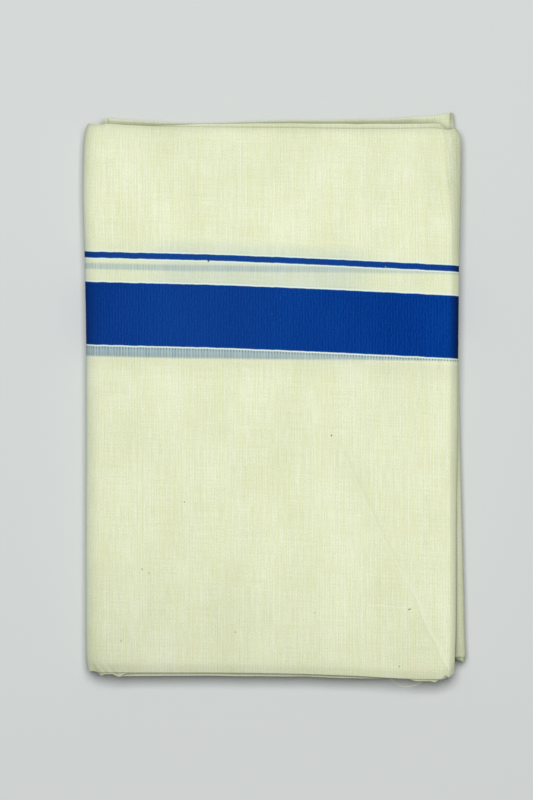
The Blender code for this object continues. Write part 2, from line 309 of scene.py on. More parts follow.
def addShell(name, grid, uvs, thickness, rounding):
    # closed shell from rows of outer points; hems are rounded along the first and last row
    rows, columns = len(grid), len(grid[0])
    outside, inside = [], []
    for r in range(rows):
        for c in range(columns):
            place = grid[r][c]
            a = grid[min(r + 1, rows - 1)][c] - grid[max(r - 1, 0)][c]
            b = grid[r][min(c + 1, columns - 1)] - grid[r][max(c - 1, 0)]
            normal = a.cross(b).normalized()
            d = min((place - grid[0][c]).length, (place - grid[-1][c]).length)
            q = max(0.0, 1 - d / (rounding * mm))
            t = math.sqrt(max(0.0, 1 - q * q))
            outside.append(place - normal * (thickness * mm * (1 - t) / 2))
            inside.append(place - normal * (thickness * mm * (1 + t) / 2))
    size = rows * columns
    faces = []
    for first in range(0, size - columns, columns):
        last = first + columns - 1
        faces.append((first, size + first, size + first + columns, first + columns))
        faces.append((last, last + columns, size + last + columns, size + last))
        for k in range(first, last):
            faces.append((k, k + columns, k + columns + 1, k + 1))
            faces.append((size + k, size + k + 1, size + k + columns + 1, size + k + columns))
    mesh = bpy.data.meshes.new(name)
    mesh.from_pydata(outside + inside, [], faces)
    for label, places in uvs.items():
        layer = mesh.uv_layers.new(name=label)
        for loop in mesh.loops:
            layer.data[loop.index].uv = places[loop.vertex_index % size]
    welded = bmesh.new()
    welded.from_mesh(mesh)
    bmesh.ops.remove_doubles(welded, verts=welded.verts, dist=1e-7)
    welded.to_mesh(mesh)
    welded.free()
    mesh.shade_smooth()
    return addObject(name, mesh)


def makeOuterCloth():
    places = acrossPlaces()
    middleRow = outerRoute(0.5)
    lengths = [0.0]
    for a, b in zip(middleRow, middleRow[1:]):
        lengths.append(lengths[-1] + math.hypot(b[0] - a[0], b[1] - a[1]))
    topRows = [k for k, row in enumerate(middleRow) if row[1] == packet["height"]]
    zero = min(topRows, key=lambda k: abs(middleRow[k][0]))
    strip = [lengths[zero] + middleRow[zero][0] - s for s in lengths]
    askew, beneath = ([along(lay[label], s) for s in strip] for label in ("askew", "beneath"))
    middleLeft = between(nearEnds["front"], farEnds["front"], -76, 0.5)
    grid, weave, below, hems, seen = [], [], [], [], []
    for t in places:
        line = []
        for k, (x, z, stretch) in enumerate(outerRoute(t)):
            near, far = (endPlace(*tables, x, z, stretch) for tables in outerEnds)
            y = near + t * (far - near)
            lift = 0.0
            if stretch == "top" and z > 2.5 * packet["bundle"]:
                lift = ripple(x, y)
            elif stretch in ("spine", "fold"):
                lift = outerCloth["sideWaviness"] * ripple(z * 1.3 + x, y) * ease(z / 2)
            if stretch == "fold" and z > packet["bundle"]:
                lift += seamDip(x, y)
            z = settle(x, y, z)
            line.append(Vector((x, y, z + lift)) * mm)
            straight = stretch in ("top", "spine")
            drift = 0.0 if straight else (near + far) / 2 - middleLeft
            width = y - drift + askew[k]
            hems.append(((1 - t) * (far - near) * mm, t * (far - near) * mm))
            weave.append((strip[k] * mm, width * mm))
            if line[-1].z > 0.9 * packet["height"] * mm:
                seen.append((line[-1], weave[-1]))
            below.append((strip[k] * mm, (width + beneath[k]) * mm))
        grid.append(line)
    item = addShell("outerCloth", grid, {"weave": weave, "beneath": below, "hems": hems},
                    outerCloth["thickness"], outerCloth["hemRound"])

    def clothPlace(x, y):
        # the place on the woven pattern of a point seen on top
        point, place = min(seen, key=lambda row: (row[0].x - x * mm) ** 2
                           + (row[0].y - y * mm) ** 2)
        return place[0] + x * mm - point.x, place[1] + y * mm - point.y

    return item, clothPlace


# colours as they are mixed for the screen, 0 to 255
yarns = {
    "warm": (217, 224, 184),
    "pale": (242, 247, 222),
    "straw": (229, 233, 172),
    "ripe": (231, 230, 189),
    "white": (228, 246, 232),
    "deepBlue": (1, 46, 126),
    "liftedBlue": (5, 66, 152),
    "fadedBlue": (40, 86, 150),
    "turnShadeBlue": (1, 34, 92),
    "rimLightTint": (228, 247, 240),
    "paleBlue": (70, 128, 196),
    "through": (139, 166, 180),
    "deepThrough": (140, 172, 198),
    "pin": (92, 118, 116),
    "husk": (98, 100, 54),
    "rust": (170, 146, 68),
    "leaf": (146, 156, 84),
    "shadow": (66, 72, 54),
}


def colour(name):
    return tuple((c / 255 / 12.92) if c <= 10 else ((c / 255 + 0.055) / 1.055) ** 2.4
                 for c in yarns[name]) + (1.0,)


class Field:
    # a value of a node tree; a sum of fields adds the math nodes for it
    def __init__(self, tree, socket):
        self.tree = tree
        self.socket = socket

    def reckon(self, operation, *others):
        inputs = {"i%d" % k: value for k, value in enumerate((self, *others))}
        return field(self.tree, "ShaderNodeMath", {"operation": operation}, **inputs)

    def __add__(self, other):
        return self.reckon("ADD", other)

    def __sub__(self, other):
        return self.reckon("SUBTRACT", other)

    def __mul__(self, other):
        return self.reckon("MULTIPLY", other)

    def __truediv__(self, other):
        return self.reckon("DIVIDE", other)

    def __pow__(self, other):
        return self.reckon("POWER", other)


def fill(node, **inputs):
    # inputs are fields to join or values to set; i0 is the first, spaces in names as _
    for key, value in inputs.items():
        spot = int(key[1:]) if key[0] == "i" and key[1:].isdigit() else key.replace("_", " ")
        if isinstance(value, Field):
            node.id_data.links.new(value.socket, node.inputs[spot])
        else:
            node.inputs[spot].default_value = value
    return node


def put(tree, kind, settings=(), **inputs):
    node = tree.nodes.new(kind)
    for key, value in dict(settings).items():
        setattr(node, key, value)
    return fill(node, **inputs)


def field(tree, kind, settings=(), output=0, **inputs):
    return Field(tree, put(tree, kind, settings, **inputs).outputs[output])


def coordinates(tree, layer=None):
    # a place in one of the cloth's UV maps, or else in the model
    if layer:
        return field(tree, "ShaderNodeUVMap", {"uv_map": layer})
    return field(tree, "ShaderNodeTexCoord", output="Object")


def millimetres(position):
    split = put(position.tree, "ShaderNodeSeparateXYZ", Vector=position)
    return [Field(position.tree, part) * 1000.0 for part in split.outputs[:2]]


def blendColour(share, a, b):
    # a and b are fields or names of yarns
    a, b = (colour(part) if isinstance(part, str) else part for part in (a, b))
    return field(share.tree, "ShaderNodeMix", {"data_type": "RGBA"}, 2, i0=share, i6=a, i7=b)


def ramp(factor, stops):
    node = put(factor.tree, "ShaderNodeValToRGB", Fac=factor)
    marks = node.color_ramp.elements
    marks.remove(marks[0])
    marks[0].position, marks[0].color = stops[0]
    for place, shade in stops[1:]:
        marks.new(place).color = shade
    return Field(factor.tree, node.outputs[0])


def levels(value, rows):
    # straight lines between (place, amount) rows
    low, size = rows[0][0], rows[-1][0] - rows[0][0]
    return ramp((value - low) / size, [((place - low) / size, (amount, amount, amount, 1))
                                       for place, amount in rows])


def rise(value, low, high, start=0.0, end=1.0):
    # one straight line, level past both ends
    return field(value.tree, "ShaderNodeMapRange", Value=value, i1=low, i2=high, i3=start, i4=end)


def grain(position, size, detail, seed):
    # noise stretched to its own size along and across the cloth, in millimetres
    mapped = field(position.tree, "ShaderNodeMapping", Vector=position,
                   Scale=(1000 / size[0], 1000 / size[1], 1.0), Location=(seed, seed, seed))
    return field(position.tree, "ShaderNodeTexNoise", {"noise_dimensions": "2D"}, "Fac",
                 Vector=mapped, Scale=1.0, Detail=detail, Roughness=0.55)


def mixed(parts, middle=0.5):
    # middle plus each part's distance from a half, by its weight
    total = middle - sum(weight for weight, _ in parts) / 2
    for weight, part in parts:
        total = part * weight + total
    return total


def lines(place, period):
    # fine even lines, 0 to 1
    turn = place * (2 * math.pi / period)
    return turn.reckon("SINE") * 0.5 + 0.5


def hump(offset, width):
    # 1 on a line, falling away on both sides over the width
    far = (offset / width) ** 2.0
    return (far * far + 1.0) ** -1.0


# how uneven the yarns are: sizes along and across the strip in millimetres, and strengths
unevenness = {
    "threads": ((0.55, 60), 0.66),
    "slubs": ((0.6, 9), 0.86),
    "bits": ((0.38, 0.8), 1.45),
    "crossing": ((20, 0.42), 0.6),
    "patches": ((24, 40), 0.7),
    "tint": ((0.6, 50), 1),
    "ripe": ((14, 9), 0.9),
}

# painted shade: where the cloth is darkened toward the shadow colour for the packet's shading, as
# amounts that
# multiply within a row: u along the strip and v across the cloth, x and y in the model, and the
# distances to both hems
paintedShadeAreas = {
    "nearPart": {"v": [(-130, 0.115), (-122, 0.1), (-112, 0.08), (-96, 0.045), (-84, 0.02),
                       (-74, 0)],
                 "u": [(-80, 1), (0, 1), (40, 0.65), (72, 0.65), (79, 0.1), (90, 0.1)]},
    "farPart": {"v": [(80, 0), (100, 0.015), (126, 0.02)]},
    "leftSide": {"u": [(-110, 0.055), (-96, 0), (-88, 0), (-84, 0.02), (-81.5, 0.045),
                       (-74, 0.035), (-58, 0.02), (-20, 0.012), (0, 0)],
                 "v": [(-125, 0.8), (-110, 1), (-92, 1.9), (-76, 1.7), (-60, 1.1), (0, 1),
                       (50, 0.2)]},
    "farRim": {"u": [(-95, 0), (-89, 0.11), (-86, 0.1), (-81, 0)],
               "v": [(50, 0), (68, 1)]},
    "underBorder": {"v": [(7, 0), (10, 0.02), (14.5, 0.06), (17.5, 0.06), (18, 0)]},
    "farHem": {"toFar": [(0, 0.13), (0.5, 0.11), (1, 0.07), (2, 0.03), (3.5, 0)],
               "u": [(-100, 0), (-88, 1)]},
    "farLeft": {"toFar": [(0, 0.06), (3, 0.06), (6, 0.03), (12, 0)],
                "u": [(-100, 0), (-90, 1), (-45, 0.9), (-25, 0)]},
    "nearLeft": {"toNear": [(0, 0.09), (4, 0.09), (9, 0.05), (22, 0)],
                 "u": [(-87, 0.6), (-80, 1), (-68, 0.6), (-56, 0)]},
    "farRight": {"x": [(77.5, 0), (79, 0.05), (81, 0.12), (82.5, 0.2)],
                 "y": [(-10, 0), (14, 0.3), (20, 0), (52, 0), (66, 1), (110, 1), (122, 0.5)],
                 "u": [(60, 0), (66, 1)]},
    "nearHem": {"toNear": [(0, 0.05), (3, 0.05), (4.5, 0)], "u": [(-92, 0), (-86, 1)]},
    "beneath": {"u": [(-286, 0.085), (-281, 0.03), (-265, 0)],
                "toFar": [(0, 0.8), (0.5, 1.2), (1.1, 3), (2.5, 3.2), (8, 3.2), (12, 1)]},
    "foldNear": {"u": [(-276, 0.03), (-273, 0.14), (-270.5, 0.13), (-268.5, 0.02), (-265, 0)],
                 "y": [(60, 1), (100, 0)]},
    "foldCorner": {"x": [(78.4, 0), (78.9, 1), (79.4, 0.75)],
                   "toFar": [(0, 0.4), (3, 0.38), (5.5, 0.12), (7, 0)],
                   "u": [(-252, 1), (-250, 0)]},
}
# painted shade on the inner plies, as amounts that multiply within a row
paintedShadePlies = {
    "all": {"y": [(0, 0.14), (1, 0.14)]},
    "foldEnd": {"x": [(79, 0), (80.5, 0.7), (81.7, 0.62), (83, 0.42), (84.2, 0.1), (85, 0)],
                "y": [(-116, 1), (-114, 0)]},
    "nearLeft": {"x": [(-80, 0.1), (-66, 0.1), (-60, 0)], "y": [(-118, 1), (-116, 0)]},
    "leftEnd": {"x": [(-78, 0.26), (-76, 0.22), (-75, 0.08), (-74, 0)],
                "y": [(118, 0), (119, 1), (123, 1), (124.2, 0.45)]},
}

# where the woven stripes change yarn, in millimetres across the cloth
pattern = {
    "low": 15, "high": 70,
    "changes": ((20.25, "white"), (20.86, "blue"), (48.88, "white"), (49.55, "plain"),
                (59.1, "white"), (59.65, "blue"), (62.4, "white"), (62.97, "plain")),
    "soft": 0.26,
    # the ply below shows through, and faintly the plies under it too, by place along the strip; the
    # deeper rows also paint a shadow line just past each band's outer white line
    "below": ((20.8, "blue"), (49, "plain"), (59.65, "faint"), (62.4, "plain")),
    "softBelow": 0.9,
    "deeper": [(15.5, 0), (20.3, 0.24), (49.6, 0.38), (50.3, 0.24), (62.9, 0.24), (63, 0.3),
               (63.7, 0.2), (66.5, 0.13), (69.5, 0)],
    "deeperAlong": [(-90, 0.3), (-58, 0.35), (-45, 1), (32, 1), (46, 0.2), (90, 0.1)],
    "shownAlong": [(-90, 1.06), (-60, 1.06), (-50, 1), (0, 0.97), (12, 0.86), (90, 0.86)],
    "wander": 0.5,  # how far the edges stray
    "rib": 1.303,  # weft ribs of the blue
    "dash": (1.8, 2.6),  # how far they stay stronger or weaker
    "dashDepth": 5,
    "ribDepth": 0.5,
    "ribTone": {"threads": 0.35, "bits": 1.6, "patches": 0.6},
    "pin": 1.303,  # pin dots and the fine grey lines of what shows through
    "reed": 1.23,  # reed marks of the cream
    "reedWander": 0.8,
    "reedDepth": 0.2,
    "weave": 0.42,
    "faded": [(-90, 0.04), (-70, 0.08), (-42, 0.13), (-10, 0.11), (10, 0.07), (40, 0.03), (60, 0)],
    "upperFrom": 55,
    "fadedUpper": 0.18,
    # painted rim light: the cream is tinted cooler along the left edge
    "rimLightAlong": [(-94, 0), (-89, 0.42), (-87, 0.4), (-85, 0.32), (-84, 0.18), (-81, 0)],
    # painted shade: the blue is darker where it turns over an end
    "turned": [(-92, 0.8), (-86, 0.6), (-80, 0.25), (-70, 0), (77.5, 0), (82, 1)],
}


# painted shade: blends the colour toward the shadow colour by the amounts above
def paintShade(base, u, v, striped):
    values = {"u": u, "v": v}
    values["x"], values["y"] = millimetres(coordinates(u.tree))
    if striped:
        values["toFar"], values["toNear"] = millimetres(coordinates(u.tree, "hems"))
    shares = []
    for place in (paintedShadeAreas if striped else paintedShadePlies).values():
        parts = [levels(values[label], rows) for label, rows in place.items()]
        shares.append(math.prod(parts[1:], start=parts[0]))
    return blendColour(sum(shares[1:], shares[0]), base, "shadow")


def stripeMasks(across, changes, soft):
    marks = {"plain": (0, 0, 0, 1), "white": (0, 1, 0, 1), "blue": (1, 0, 0, 1),
             "faint": (0.6, 0, 0, 1)}
    low, size = pattern["low"], pattern["high"] - pattern["low"]
    stops, now = [(0.0, marks["plain"])], "plain"
    for place, yarn in changes:
        stops.append(((place - soft / 2 - low) / size, marks[now]))
        stops.append(((place + soft / 2 - low) / size, marks[yarn]))
        now = yarn
    stripes = ramp((across - low) / size, stops)
    split = put(across.tree, "ShaderNodeSeparateColor", Color=stripes)
    return [Field(across.tree, part) for part in split.outputs[:2]]


# painted shade deep between the folds, from an ambient occlusion node: reach in millimetres, and
# how dark
creviceShade = {"reach": 4.2, "outer": 1.2, "plies": 0.9}


# painted shade: the colour darkens toward the shadow colour where other cloth is near
def shaded(base, strength):
    near = field(base.tree, "ShaderNodeAmbientOcclusion", {"samples": 8, "only_local": False},
                 "AO", Distance=creviceShade["reach"] * mm)
    return blendColour(near * -strength + strength, base, "shadow")


# a sharp pressed crease slants to the near right corner: x at each y, in millimetres
crease = {
    "line": [(30.6, -23.7), (35.4, -33.5), (40.1, -43.2), (44.3, -51.8), (48.5, -60.5),
             (55.2, -72.8), (62.6, -87.6), (67.9, -101), (71.3, -106.5), (75.5, -115.1),
             (78.6, -119.1)],
    # each side's offset and width, in its upper and in its lower part
    "ridge": 0.8, "ridgeOffset": (0, 1.5), "ridgeWidth": (0.42, 1),
    "valley": 0.6, "valleyOffset": (0.9, 0), "valleyWidth": (0.7, 0.4),
    "turns": (-70, -92),  # where the upper part passes into the lower
    # the bump's depth, the painted shade in the valley, and the painted highlight on the ridge,
    # which is partly its rubbed paler yarn
    "depth": 0.14, "shade": 0.30, "ridgeRubAndHighlight": 0.33,
    "startsFull": -26,
    "fades": (1, 3),  # how far past its two ends
    "slant": 0.9,  # its distance across, to its distance along x
}

# specks caught in the yarns, by colour: place, radius and strength, in millimetres
specks = {
    "husk": ((25.7, -17.2, 0.38, 0.9), (-39.9, -46.9, 0.36, 0.6), (-58.8, -76.9, 0.34, 0.72),
             (-55.7, -78.6, 0.32, 0.65), (-17.3, -105, 0.32, 0.6), (55.8, -120, 0.32, 0.55),
             (55.9, -120.6, 0.3, 0.5), (18.3, -96.4, 0.32, 0.5), (-83, -16.8, 0.26, 0.5)),
    "leaf": ((-68.2, -108.9, 0.44, 0.52),),
    "rust": ((60.3, -94.9, 0.42, 0.95), (60.9, -94.7, 0.36, 0.9), (-38.8, -11.7, 0.3, 0.25),
             (-76.7, -50, 0.28, 0.3), (49.8, 57.9, 0.38, 0.7)),
    "deepBlue": ((-29.2, 60.7, 0.5, 0.95),),
    "fadedBlue": ((59.4, 31.3, 0.22, 0.5), (64.2, 31.1, 0.18, 0.4), (68.9, 31.4, 0.24, 0.45),
                  (73.1, 31.2, 0.2, 0.4), (77, 31.5, 0.2, 0.4)),
    "paleBlue": ((-0.8, 37, 0.24, 0.5), (2.9, 44, 0.2, 0.35), (4.7, 45.7, 0.2, 0.3)),
    "pale": ((61, -95.5, 0.26, 0.8), (67, -103.2, 0.25, 0.6)),
}

# one yarn pulled up by a speck shows pale: its places, width and strength, in millimetres
pulledYarn = {
    "places": ((42.3, -93.3), (48.4, -93), (54, -93.8), (59.8, -93.9)),
    "width": 0.17,
    "strength": 0.5,
}


def addCrease(x, y, base):
    line = crease["line"]
    low, high = line[-1][1], line[0][1]
    left, right = line[0][0], line[-1][0]
    curve = put(y.tree, "ShaderNodeFloatCurve", Value=(y - low) / (high - low))
    marks = curve.mapping.curves[0].points
    rows = [((b - low) / (high - low), (a - left) / (right - left)) for a, b in reversed(line)]
    marks[0].location, marks[1].location = rows[0], rows[-1]
    for place in rows[1:-1]:
        marks.new(*place)
    curve.mapping.update()
    middle = Field(y.tree, curve.outputs[0]) * (right - left) + left
    offset = (x - middle) * crease["slant"]
    start, stop = crease["fades"]
    within = rise(y, high + start, crease["startsFull"]) * rise(y, low - stop, low)
    lower = rise(y, *crease["turns"])
    shapes = []
    for part in ("valley", "ridge"):
        centre, width = (lower * (below - above) + above
                         for above, below in (crease[part + "Offset"], crease[part + "Width"]))
        shapes.append(hump(offset - centre, width) * within)
    valley, ridge = shapes
    # painted shade in the valley, and a painted highlight on the ridge that is partly its rubbed
    # paler yarn
    base = blendColour(valley * crease["shade"], base, "warm")
    base = blendColour(ridge * crease["ridgeRubAndHighlight"], base, "pale")
    return base, ridge * crease["ridge"] - valley * crease["valley"]


def addSpecks(base, position, clothPlace):
    for yarn, spots in specks.items():
        for x, y, radius, strength in spots:
            gap = field(base.tree, "ShaderNodeVectorMath", {"operation": "DISTANCE"}, "Value",
                        i0=position, i1=(*clothPlace(x, y), 0.0))
            spot = rise(gap, 0.55 * radius * mm, 1.25 * radius * mm, strength, 0.0)
            base = blendColour(spot, base, yarn)
    return base


def addPulledYarn(u, v, base, clothPlace):
    places = [[c / mm for c in clothPlace(*place)] for place in pulledYarn["places"]]
    low, high = min(b for _, b in places), max(b for _, b in places)
    middle = levels(u, [(a, (b - low) / (high - low)) for a, b in places]) * (high - low) + low
    start, stop = places[0][0], places[-1][0]
    within = levels(u, [(start - 1.5, 0.0), (start, 1.0), (stop, 1.0), (stop + 0.5, 0.0)])
    share = hump(v - middle, pulledYarn["width"]) * (within * pulledYarn["strength"])
    return blendColour(share, base, "pale")


def addWeave(position, u, v):
    # slubs and uneven yarns run across the strip, and reed marks with them
    found = {label: grain(position, size, 1.5, 3.1 + 7.3 * k)
             for k, (label, (size, _)) in enumerate(unevenness.items())}
    marks = lines(found["patches"] * pattern["reedWander"] + u, pattern["reed"])
    tone = mixed([(unevenness[label][1], found[label])
                  for label in ("threads", "slubs", "bits", "crossing", "patches")]
                 + [(pattern["reedDepth"], marks)])
    base = blendColour(tone, "warm", "pale")
    for label, yarn, middle in (("tint", "straw", 0.12), ("ripe", "ripe", 0.05)):
        share = mixed([(unevenness[label][1], found[label])], middle)
        base = blendColour(share, base, yarn)
    crossed = (lines(u, pattern["weave"]) - 0.5) * (lines(v, pattern["weave"]) - 0.5)
    height = crossed * 1.2 + mixed([(0.9, found["threads"]), (0.5, found["slubs"]),
                                    (0.5, found["crossing"])])
    return base, height, found


def addBorder(base, height, found, position, u, v):
    # the ply below shows through beside the stripes
    lowerV = millimetres(coordinates(u.tree, "beneath"))[1]
    blueBelow = stripeMasks(lowerV, pattern["below"], pattern["softBelow"])[0]
    # the plies under it show through, with a painted shadow line past each band's outer white line
    deeper = levels(v, pattern["deeper"]) * levels(u, pattern["deeperAlong"])
    base = blendColour(deeper, base, "deepThrough")
    fine = lines(u, pattern["pin"])
    cover = rise(found["slubs"], 0.35, 0.65, 1.0, 0.8) * levels(u, pattern["shownAlong"])
    base = blendColour(blueBelow * (cover * (fine * 0.3 + 0.72)), base, "through")
    # a row of pin holes under the border, painted as dark dots: the blue ply below and the shade in
    # the holes
    edge = pattern["changes"][0][0]
    row = levels(v, [(edge - 1.0, 0.0), (edge - 0.75, 1.0), (edge, 1.0), (edge + 0.3, 0.0)])
    pins = fine ** 3.0 * (row * blueBelow)
    base = blendColour(pins * 0.75, base, "pin")
    # the stripes' own yarns, with ribs in the blue
    stray = grain(position, (5.5, 4000), 3.0, 23.0)
    moved = (stray - 0.5) * pattern["wander"] + v
    blue, white = stripeMasks(moved, pattern["changes"], pattern["soft"])
    base = blendColour(white, base, "white")
    ribs = lines(u, pattern["rib"])
    dashes = grain(position, pattern["dash"], 1.5, 61.0)
    parts = [(weight, found[label]) for label, weight in pattern["ribTone"].items()]
    tone = mixed([(pattern["ribDepth"], ribs), *parts], 0.45)
    tone += (ribs - 0.5) * (dashes - 0.5) * pattern["dashDepth"]
    blues = blendColour(tone, "deepBlue", "liftedBlue")
    upper = v.reckon("GREATER_THAN", pattern["upperFrom"]) * pattern["fadedUpper"]
    blues = blendColour(levels(u, pattern["faded"]) + upper, blues, "fadedBlue")
    # painted shade on the blue where it turns over an end
    blues = blendColour(levels(u, pattern["turned"]), blues, "turnShadeBlue")
    return blendColour(blue, base, blues), height + blue * (ribs * 0.8)


# how matt the cotton is, and how strong and high its weave's relief, in millimetres
cottonFinish = {"roughness": 0.95, "specular": 0.04, "relief": 0.35, "reliefHeight": 0.12}


def newMaterial(name):
    material = bpy.data.materials.new(name)
    material.use_nodes = True
    return material, material.node_tree


def finishCotton(material, base, bump):
    fill(material.node_tree.nodes["Principled BSDF"], Base_Color=base, Normal=bump,
         Roughness=cottonFinish["roughness"], Specular_IOR_Level=cottonFinish["specular"])
    return material


def wovenCotton(name, clothPlace=None):
    # cotton with its border where clothPlace is given, and plain otherwise
    material, tree = newMaterial(name)
    striped = clothPlace is not None
    position = coordinates(tree, "weave" if striped else None)
    u, v = millimetres(position)
    base, height, found = addWeave(position, u, v)
    if striped:
        # painted rim light: a cooler tint along the left edge
        base = blendColour(levels(u, pattern["rimLightAlong"]), base, "rimLightTint")
        base, height = addBorder(base, height, found, position, u, v)
        base, relief = addCrease(u, v, base)
        base = addSpecks(base, position, clothPlace)
        base = addPulledYarn(u, v, base, clothPlace)
    # painted shade where the packet is shaded, then painted shade deep between its folds
    base = paintShade(base, u, v, striped)
    base = shaded(base, creviceShade["outer" if striped else "plies"])
    bump = field(tree, "ShaderNodeBump", Height=height, Strength=cottonFinish["relief"],
                 Distance=cottonFinish["reliefHeight"] * mm)
    if striped:
        bump = field(tree, "ShaderNodeBump", Height=relief, Strength=1.0,
                     Distance=crease["depth"] * mm, Normal=bump)
    return finishCotton(material, base, bump)


# every ply under the outer two, folded double or single, as it shows at the two ends
plyEdges = {
    "single": 0.23,  # a ply that ends by itself
    "double": 0.49,  # two plies joined by their fold
    "runIn": 14,  # how far a fold runs in from its edge
    "waver": 0.16, "waverLength": 9,
    "step": 5, "fineStep": 1.1, "fineWithin": 27,
    # depth of the ply in its bundle, kind, and how far its upper and lower halves stand out
    "far": ((0.78, "single", -3, -0.3), (1.30, "double", 0, -0.9),
            (1.69, "single", -0.35, -0.4), (2.08, "double", -0.7, -0.2),
            (2.47, "single", -0.4, -0.6)),
    "near": ((0.65, "single", -1.5, -0.7), (1.04, "double", -1.2, -0.3),
             (1.43, "single", -1.4, -0.5), (1.82, "double", -1, -0.15),
             (2.34, "double", -0.8, 0)),
    "flushRight": 58, "flushLeft": -65,  # past these all of them come out at the near end
    "flush": 0.85,
    "lowest": 0.02,
    # where each side's route is taken, as y and as the share from the near end to the far
    "routeAt": {"far": (117, 0.985), "near": (-119.5, 0.015)},
    "further": 2.7, "furtherFrom": 1.2,  # the deeper plies end further left
    "inner": 2.8,  # the inner bend at the left spine
    "seed": 5,
}


def stackRoute(depth, side):
    # route of a ply at this depth through the whole folded stack, seen from one end
    high, bundle, step = packet["height"], packet["bundle"], plyEdges["step"]
    y, t = plyEdges["routeAt"][side]
    left = along(sides["left"], y) + packet["spineDepth"]
    right = along(sides["rightTop"], y)
    fold = along(sides["rightLow"], y) - packet["foldDepth"]
    stop = packet["middleEnd"] - (plyEdges["further"] if depth > plyEdges["furtherFrom"] else 0)
    within, fine = plyEdges["fineWithin"], plyEdges["fineStep"]

    def run(start, end):
        # places from one end to the other, close together near both
        way = 1 if end > start else -1
        a, b = start + way * within, end - way * within
        count = int(within / fine)
        return (span(start, a, count)[:-1] + span(a, b, int(abs(b - a) / step))[:-1]
                + span(b, end, count))

    rows = [(x, 2 * bundle - depth, "middle") for x in run(stop, fold)[:-1]]
    shrink = depth * packet["foldDepth"] / bundle
    rows += [(fold + out, bundle - up, "fold")
             for out, up in oval(packet["foldDepth"] - shrink, bundle - depth, -90, 90, 10)]
    rows += [(x, depth, "bottom") for x in run(fold, left)[1:-1]]
    rows += [(left - out, high / 2 + up, "spine")
             for out, up in oval(packet["spineDepth"] - depth, high / 2 - depth, -90, 90, 16,
                                 packet["spinePower"])]
    roll = along(settling["rollWide"], t)
    rows += [(x, high - depth, "top") for x in run(left, right - roll)[1:-1]]
    half = bundle / 2 - depth
    rows += [(right - roll + out, 2.5 * bundle - up, "top")
             for out, up in oval(roll - depth, half, -90, 0, 7, settling["rollPower"])[:-1]]
    rows += [(right - bundle / 2 + out, 2.5 * bundle - up, "turned")
             for out, up in oval(half, half, 0, 90, 4, 2)]
    rows += [(x, 2 * bundle + depth, "turned")
             for x in run(right - bundle / 2, left)[1:-1]]
    rows += [(left - out, high / 2 - up, "spine")
             for out, up in oval(plyEdges["inner"] + depth, bundle / 2 + depth, -90, 90, 10)]
    rows += [(x, bundle - depth, "bottom") for x in run(left, fold)[1:-1]]
    rows += [(fold + out, bundle + up, "fold") for out, up in oval(depth, depth, -90, 90, 6)]
    rows += [(x, bundle + depth, "middle") for x in run(fold, stop)[1:]]
    return rows


def sweepTree(name, numbers, shape):
    # sweeps a profile along each wire; shape gives the curve and its profile
    tree = bpy.data.node_groups.new(name, "GeometryNodeTree")
    tree.is_modifier = True
    kinds = [("Geometry", "Geometry"), *((label, "Float") for label in numbers),
             ("Cloth", "Material")]
    for label, kind in kinds:
        tree.interface.new_socket(label, in_out="INPUT", socket_type="NodeSocket" + kind)
    tree.interface.new_socket("Geometry", in_out="OUTPUT", socket_type="NodeSocketGeometry")
    sockets = tree.nodes.new("NodeGroupInput").outputs
    enter = {label: Field(tree, sockets[label]) for label, _ in kinds}
    wires = field(tree, "GeometryNodeMeshToCurve", Mesh=enter["Geometry"])
    curve, profile = shape(enter, wires)
    swept = field(tree, "GeometryNodeCurveToMesh", Curve=curve, Profile_Curve=profile,
                  Fill_Caps=True)
    smooth = field(tree, "GeometryNodeSetShadeSmooth", Geometry=swept)
    whole = field(tree, "GeometryNodeRealizeInstances", Geometry=smooth)
    dressed = field(tree, "GeometryNodeSetMaterial", Geometry=whole, Material=enter["Cloth"])
    tree.links.new(dressed.socket, tree.nodes.new("NodeGroupOutput").inputs[0])
    return tree


def plyShape(enter, curve):
    # a ply wavers in and out, and its profile is flat and rounded
    tree = curve.tree
    shifted = field(tree, "ShaderNodeVectorMath", {"operation": "ADD"}, i1=enter["Seed"],
                    i0=field(tree, "GeometryNodeInputPosition"))
    rough = field(tree, "ShaderNodeTexNoise", output="Fac", Vector=shifted, Detail=3.0,
                  Scale=enter["Waver length"] ** -1.0)
    offset = field(tree, "ShaderNodeCombineXYZ", Y=(rough - 0.5) * (enter["Waver"] * 4.0))
    curve = field(tree, "GeometryNodeSetPosition", Geometry=curve, Offset=offset)
    curve = field(tree, "GeometryNodeSetCurveNormal", {"mode": "FREE"}, Curve=curve,
                  Normal=(0.0, 1.0, 0.0))
    profile = field(tree, "GeometryNodeCurvePrimitiveQuadrilateral", Width=enter["Run in"],
                    Height=enter["Thickness"])
    rounded = field(tree, "GeometryNodeFilletCurve", {"mode": "POLY"}, Curve=profile, Count=2,
                    Radius=enter["Thickness"] * 0.48)
    return curve, rounded


def growFrom(points, tree, settings):
    # runs a tree on a wire through the points and keeps the plain result
    wire = bpy.data.meshes.new("wire")
    wire.from_pydata(points, [(k, k + 1) for k in range(len(points) - 1)], [])
    holder = addObject("wire", wire)
    modifier = holder.modifiers.new("grow", "NODES")
    modifier.node_group = tree
    for socket in tree.interface.items_tree:
        if socket.in_out == "INPUT" and socket.name in settings:
            modifier[socket.identifier] = settings[socket.name]
    seen = holder.evaluated_get(bpy.context.evaluated_depsgraph_get())
    mesh = bpy.data.meshes.new_from_object(seen)
    bpy.data.objects.remove(holder)
    return mesh


def addGrown(name, grown, cloth):
    # one closed piece of grown cloth, its faces turned outward
    bmesh.ops.recalc_face_normals(grown, faces=grown.faces)
    mesh = bpy.data.meshes.new(name)
    grown.to_mesh(mesh)
    grown.free()
    mesh.materials.append(cloth)
    mesh.shade_smooth()
    return addObject(name, mesh)


